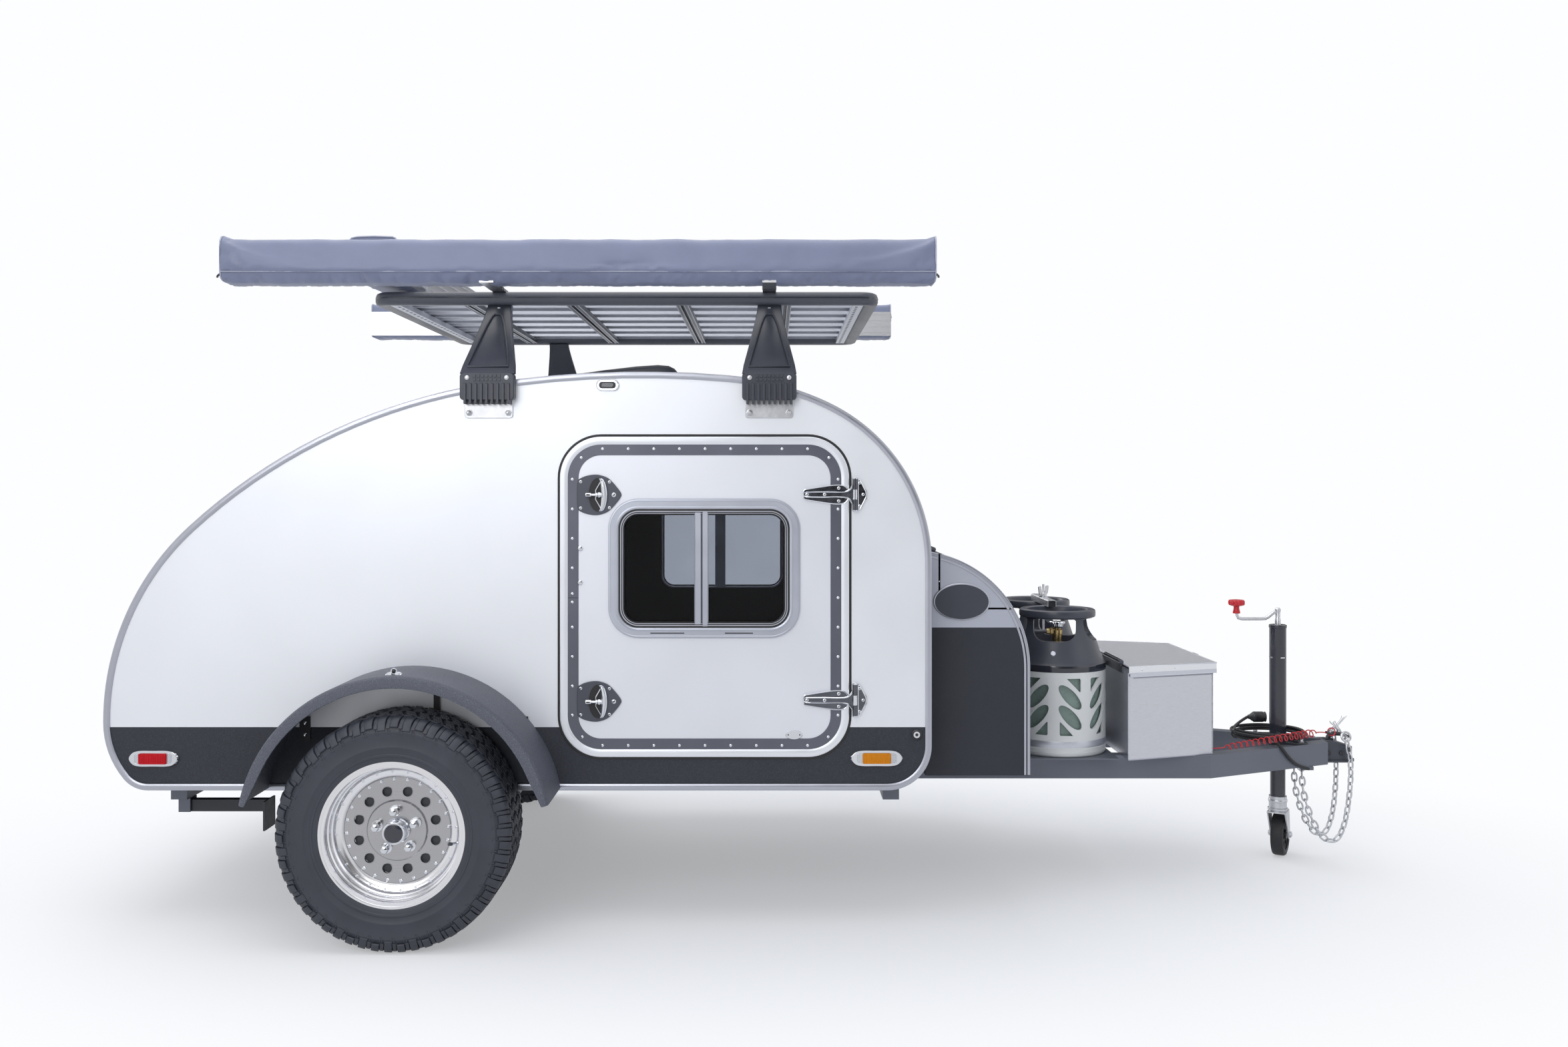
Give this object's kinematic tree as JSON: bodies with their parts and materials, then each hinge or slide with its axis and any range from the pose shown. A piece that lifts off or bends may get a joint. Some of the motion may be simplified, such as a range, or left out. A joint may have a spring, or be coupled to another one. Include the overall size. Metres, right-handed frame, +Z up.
{
  "type": "teardrop trailer",
  "caption": "Teardrop camping trailer with a sleeping cabin, rear galley hatch, side doors, roof rack with rolled awnings and a tongue jack.",
  "frame": {"origin": "on the ground under the middle of the trailer's overall length and width", "axes": "+X forward to the hitch, +Y to the left side, +Z up"},
  "size_m": [4.0358, 2.03, 2.061],
  "materials": {
    "silver_panel": "satin painted aluminium",
    "black_panel": "textured black coating",
    "frame_grey": "satin powder coat",
    "bright_aluminium": "brushed",
    "tyre_rubber": "matte rubber",
    "dark_steel": "satin black paint",
    "zinc": "zinc plated",
    "chrome": "polished",
    "tinted_glass": "dark tinted",
    "birch_ply": "clear coated plywood",
    "bed_fabric": "woven cotton",
    "awning_pvc": "coated PVC cloth",
    "black_plastic": "moulded",
    "bottle_casing": "light moulded casing",
    "amber_lens": "clear amber",
    "red_lens": "clear red",
    "red_plastic": "red coated",
    "black_rubber": "cable jacket",
    "hose_grey": "gas hose"
  },
  "bodies": {
    "trailer": {"frame_rails": "frame_grey", "frame_crossmembers": "frame_grey", "coupler": "frame_grey", "axle_beam": "dark_steel", "floor_panel": "black_panel", "side_wall_right": "silver_panel", "side_wall_left": "silver_panel", "roof_panel": "silver_panel", "end_panels": "silver_panel", "galley_cabinet": "birch_ply", "mattress": "bed_fabric", "nose_box": "silver_panel", "tongue_box": "bright_aluminium", "gas_bottles": "bottle_casing", "bottle_collars": "black_plastic", "gas_fittings": "chrome", "gas_hoses": "hose_grey", "fender_right": "black_plastic", "fender_left": "black_plastic", "rack_frame": "black_plastic", "rack_slats": "bright_aluminium", "rack_legs": "black_plastic", "awning_right": "awning_pvc", "awning_left": "awning_pvc", "awning_rear": "awning_pvc", "awning_mounts": "bright_aluminium", "vent_base": "black_plastic", "lamps_amber": "amber_lens", "lamps_red": "red_lens", "jack_tube": "dark_steel", "jack_crank": "zinc", "safety_chains": "zinc", "breakaway_cable": "red_plastic", "wiring_coil": "black_rubber", "wiring_lead": "black_rubber", "wiring_plug": "black_plastic", "hinge_leaves": "chrome"},
    "hatch": {"hatch": "silver_panel"},
    "nose_box_lid": {"nose_box_lid": "silver_panel"},
    "tongue_box_lid": {"tongue_box_lid": "bright_aluminium"},
    "vent_lid": {"vent_lid": "black_plastic"},
    "jack_leg": {"jack_leg": "dark_steel"},
    "caster": {"caster_fork": "zinc"},
    "caster_wheel": {"caster_wheel": "black_rubber"},
    "wheel_right": {"tyre_right": "tyre_rubber", "rim_right": "bright_aluminium", "hub_right": "dark_steel"},
    "door_right": {"door_panel_right": "silver_panel", "window_frame_right": "bright_aluminium", "window_glass_right": "tinted_glass", "door_hardware_right": "chrome"},
    "stabilizer_right": {"stabilizer_right": "dark_steel"},
    "wheel_left": {"tyre_left": "tyre_rubber", "rim_left": "bright_aluminium", "hub_left": "dark_steel"},
    "door_left": {"door_panel_left": "silver_panel", "window_frame_left": "bright_aluminium", "window_glass_left": "tinted_glass", "door_hardware_left": "chrome"},
    "stabilizer_left": {"stabilizer_left": "dark_steel"}
  },
  "joints": [
    {"name": "wheel_right_spin", "type": "hinge", "parent": "trailer", "child": "wheel_right", "pos_m": [-1.08115, -0.9, 0.332], "axis": [0, 1, 0], "continuous": true},
    {"name": "wheel_left_spin", "type": "hinge", "parent": "trailer", "child": "wheel_left", "pos_m": [-1.08115, 0.9, 0.332], "axis": [0, 1, 0], "continuous": true},
    {"name": "door_right_hinge", "type": "hinge", "parent": "trailer", "child": "door_right", "pos_m": [0.22285, -0.772, 0.9765], "axis": [0, 0, 1], "range_deg": [0, 110]},
    {"name": "door_left_hinge", "type": "hinge", "parent": "trailer", "child": "door_left", "pos_m": [0.22285, 0.772, 0.9765], "axis": [0, 0, -1], "range_deg": [0, 110]},
    {"name": "hatch_hinge", "type": "hinge", "parent": "trailer", "child": "hatch", "pos_m": [-1.02486, 0, 1.58029], "axis": [0, 1, 0], "range_deg": [0, 50]},
    {"name": "nose_box_lid_hinge", "type": "hinge", "parent": "trailer", "child": "nose_box_lid", "pos_m": [0.49347, 0, 1.10211], "axis": [0, -1, 0], "range_deg": [0, 75]},
    {"name": "tongue_box_lid_hinge", "type": "hinge", "parent": "trailer", "child": "tongue_box_lid", "pos_m": [1.12385, 0, 0.728], "axis": [0, -1, 0], "range_deg": [0, 80]},
    {"name": "vent_lid_hinge", "type": "hinge", "parent": "trailer", "child": "vent_lid", "pos_m": [-0.33415, 0, 1.663], "axis": [0, 1, 0], "range_deg": [0, 26]},
    {"name": "jack_slide", "type": "slide", "parent": "trailer", "child": "jack_leg", "axis": [0, 0, 1], "range_m": [-0.1, 0.1]},
    {"name": "caster_swivel", "type": "hinge", "parent": "jack_leg", "child": "caster", "pos_m": [1.75385, 0, 0.218], "axis": [0, 0, 1], "continuous": true},
    {"name": "caster_wheel_spin", "type": "hinge", "parent": "caster", "child": "caster_wheel", "pos_m": [1.77635, 0.03897, 0.075], "axis": [-0.866, 0.5, 0], "continuous": true},
    {"name": "stabilizer_right_swing", "type": "hinge", "parent": "trailer", "child": "stabilizer_right", "pos_m": [-1.83615, -0.56, 0.316], "axis": [0, 1, 0], "range_deg": [0, 90]},
    {"name": "stabilizer_left_swing", "type": "hinge", "parent": "trailer", "child": "stabilizer_left", "pos_m": [-1.83615, 0.56, 0.316], "axis": [0, 1, 0], "range_deg": [0, 90]}
  ]
}
